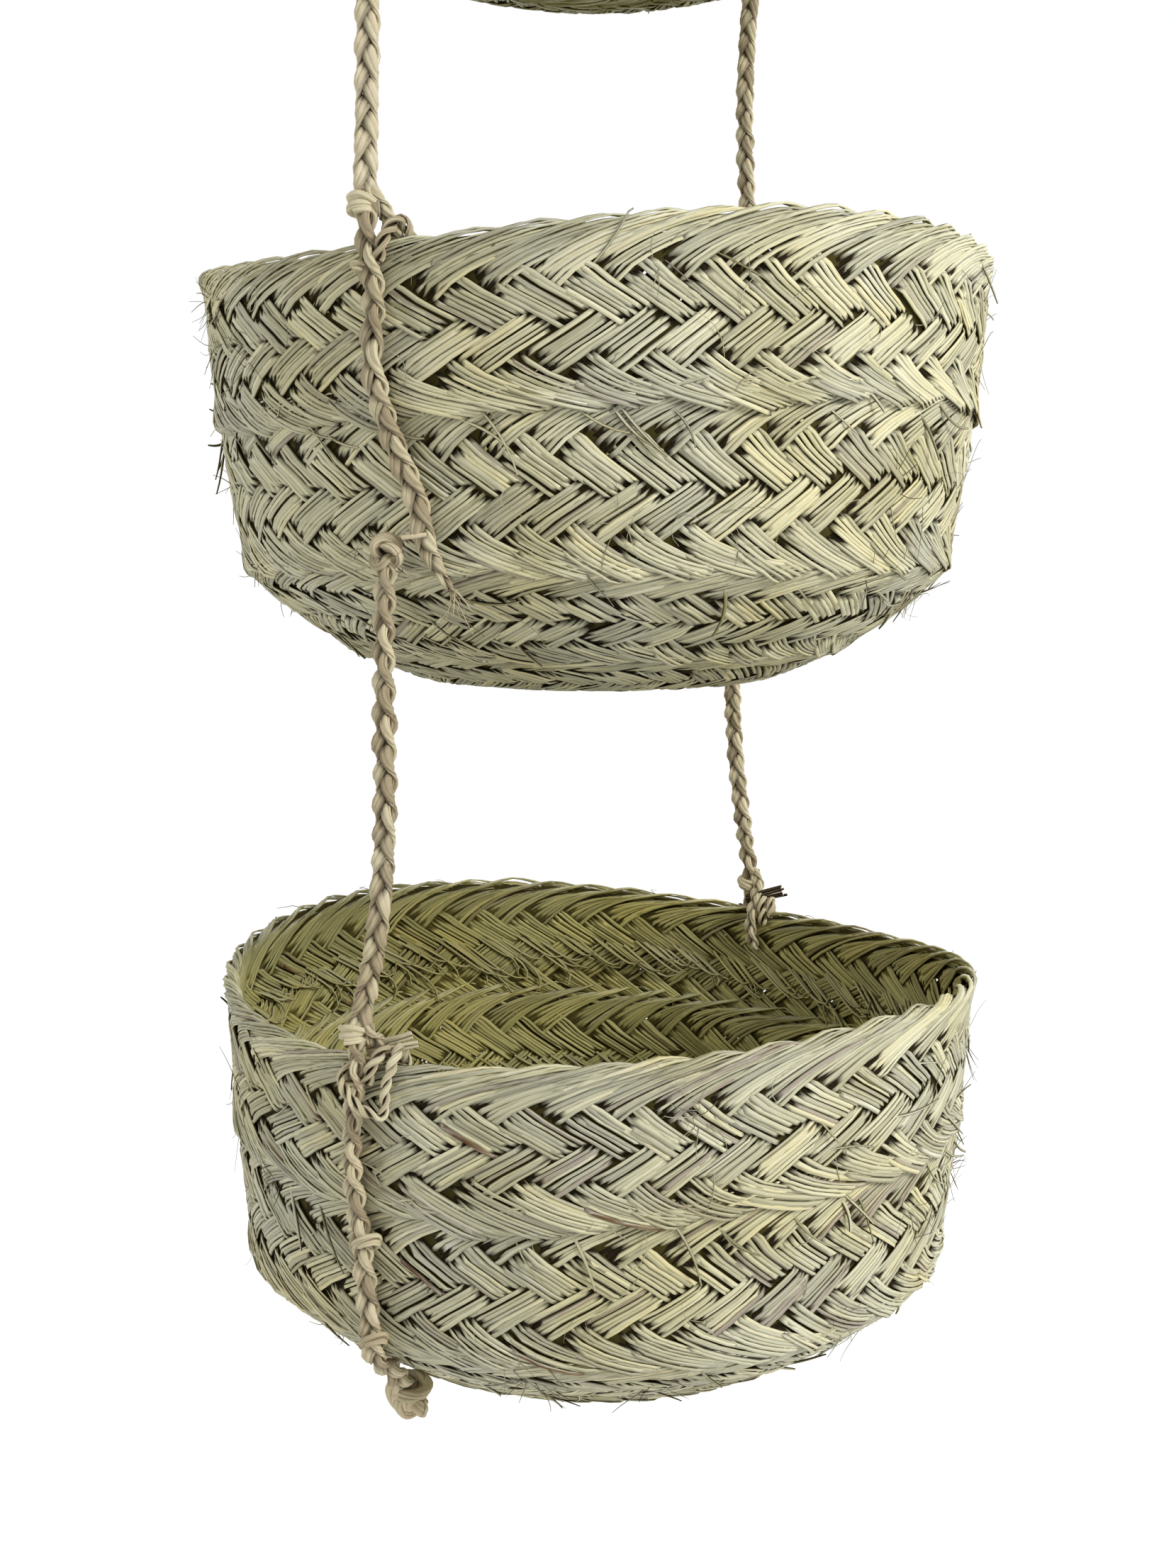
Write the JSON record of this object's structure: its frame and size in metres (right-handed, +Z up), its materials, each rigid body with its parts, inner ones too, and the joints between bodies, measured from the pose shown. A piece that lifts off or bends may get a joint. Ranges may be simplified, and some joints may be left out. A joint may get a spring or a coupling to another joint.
{
  "type": "tiered hanging basket",
  "caption": "Tiered hanging basket: deep round bowls of herringbone-plaited grass, one under another, on two braided palm ropes with knots and a hanging loop.",
  "frame": {"origin": "the point inside the hanging loop where the hook bears", "axes": "+Z up; the two ropes lie on the -Y side (front) and the +Y side (back) of the baskets"},
  "size_m": [0.3058, 0.3252, 0.9904],
  "materials": {
    "plaited_grass": "dry plaited grass, matt with a slight sheen on each strand",
    "sewing_cord": "twisted plant cord, matt",
    "palm_rope": "braided palm leaf, matt"
  },
  "bodies": {
    "hanging_loop": {"hanging_loop": "palm_rope", "loop_binding": "palm_rope"},
    "crown_neck": {"crown_neck": "palm_rope"},
    "crown_knot": {"crown_knot": "palm_rope"},
    "crown_ropes": {"crown_rope_front": "palm_rope", "crown_rope_back": "palm_rope"},
    "top_basket": {"top_rim_course": "plaited_grass", "top_wall_course": "plaited_grass", "top_base": "plaited_grass", "top_sewing_upper": "sewing_cord", "top_sewing_lower": "sewing_cord", "top_wall_rope_front": "palm_rope", "top_wall_rope_back": "palm_rope", "top_rim_knot_front": "palm_rope", "top_rim_knot_back": "palm_rope", "top_seam_knot_front": "palm_rope", "top_seam_knot_back": "palm_rope"},
    "middle_basket": {"middle_rim_course": "plaited_grass", "middle_wall_course": "plaited_grass", "middle_base": "plaited_grass", "middle_sewing_upper": "sewing_cord", "middle_sewing_lower": "sewing_cord", "middle_wall_rope_front": "palm_rope", "middle_wall_rope_back": "palm_rope", "middle_rim_knot_front": "palm_rope", "middle_rim_knot_back": "palm_rope", "middle_seam_knot_front": "palm_rope", "middle_seam_knot_back": "palm_rope"},
    "middle_ropes_upper": {"middle_rope_upper_front": "palm_rope", "middle_rope_upper_back": "palm_rope"},
    "middle_ropes_lower": {"middle_rope_lower_front": "palm_rope", "middle_rope_lower_back": "palm_rope"},
    "lower_basket": {"lower_rim_course": "plaited_grass", "lower_wall_course": "plaited_grass", "lower_base": "plaited_grass", "lower_sewing_upper": "sewing_cord", "lower_sewing_lower": "sewing_cord", "lower_wall_rope_front": "palm_rope", "lower_wall_rope_back": "palm_rope", "lower_rim_knot_front": "palm_rope", "lower_rim_knot_back": "palm_rope", "lower_end_knot_front": "palm_rope", "lower_end_knot_back": "palm_rope"},
    "lower_ropes_upper": {"lower_rope_upper_front": "palm_rope", "lower_rope_upper_back": "palm_rope"},
    "lower_ropes_lower": {"lower_rope_lower_front": "palm_rope", "lower_rope_lower_back": "palm_rope"}
  },
  "joints": [
    {"name": "neck_twist", "type": "hinge", "parent": "hanging_loop", "child": "crown_neck", "pos_m": [0, 0, -0.0683], "axis": [0, 0, 1], "range_deg": [-180, 180]},
    {"name": "set_sway", "type": "hinge", "parent": "crown_neck", "child": "crown_knot", "pos_m": [0, 0, -0.0936], "axis": [1, 0, 0], "range_deg": [-20, 20]},
    {"name": "set_swing", "type": "hinge", "parent": "crown_knot", "child": "crown_ropes", "pos_m": [0, 0, -0.0936], "axis": [0, 1, 0], "range_deg": [-20, 20]},
    {"name": "top_tilt", "type": "hinge", "parent": "crown_ropes", "child": "top_basket", "pos_m": [0, 0, -0.2836], "axis": [0, -1, 0], "range_deg": [-20, 20]},
    {"name": "middle_swing", "type": "hinge", "parent": "top_basket", "child": "middle_ropes_upper", "pos_m": [0, 0, -0.39071], "axis": [0, 1, 0], "range_deg": [-20, 25]},
    {"name": "middle_fold", "type": "hinge", "parent": "middle_ropes_upper", "child": "middle_ropes_lower", "pos_m": [0, 0, -0.47215], "axis": [0, -1, 0], "range_deg": [0, 50]},
    {"name": "middle_tilt", "type": "hinge", "parent": "middle_ropes_lower", "child": "middle_basket", "pos_m": [0, 0, -0.5536], "axis": [0, 1, 0], "range_deg": [-20, 25]},
    {"name": "lower_swing", "type": "hinge", "parent": "middle_basket", "child": "lower_ropes_upper", "pos_m": [0, 0, -0.66106], "axis": [0, 1, 0], "range_deg": [-20, 25]},
    {"name": "lower_fold", "type": "hinge", "parent": "lower_ropes_upper", "child": "lower_ropes_lower", "pos_m": [0, 0, -0.74233], "axis": [0, -1, 0], "range_deg": [0, 50]},
    {"name": "lower_tilt", "type": "hinge", "parent": "lower_ropes_lower", "child": "lower_basket", "pos_m": [0, 0, -0.8236], "axis": [0, 1, 0], "range_deg": [-20, 25]}
  ]
}
